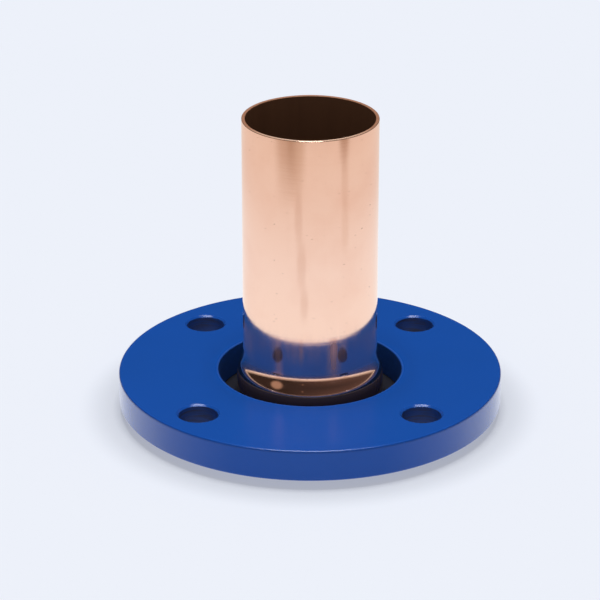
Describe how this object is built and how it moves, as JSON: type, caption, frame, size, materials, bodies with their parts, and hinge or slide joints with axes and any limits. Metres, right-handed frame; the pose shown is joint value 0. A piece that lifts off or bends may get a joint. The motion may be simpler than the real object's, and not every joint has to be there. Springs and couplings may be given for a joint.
{
  "type": "flange adaptor",
  "caption": "Flange adaptor: a copper tube stub with a shouldered foot and a collar, and a loose drilled backing flange that turns on the collar.",
  "frame": {"origin": "centre of the collar's sealing face, which the adaptor stands on", "axes": "+Z along the tube's axis, from the sealing face to the tube's open end; the bolt holes lie on the diagonals between +X and +Y"},
  "size_m": [0.1906, 0.1906, 0.1524],
  "materials": {
    "copper": "drawn and polished copper",
    "blue_coating": "semi-gloss coating"
  },
  "bodies": {
    "stub": {"copper_stub": "copper"},
    "flange": {"backing_flange": "blue_coating"}
  },
  "joints": [
    {"name": "flange_swivel", "type": "hinge", "parent": "stub", "child": "flange", "pos_m": [0, 0, 0.01255], "axis": [0, 0, 1], "continuous": true}
  ]
}
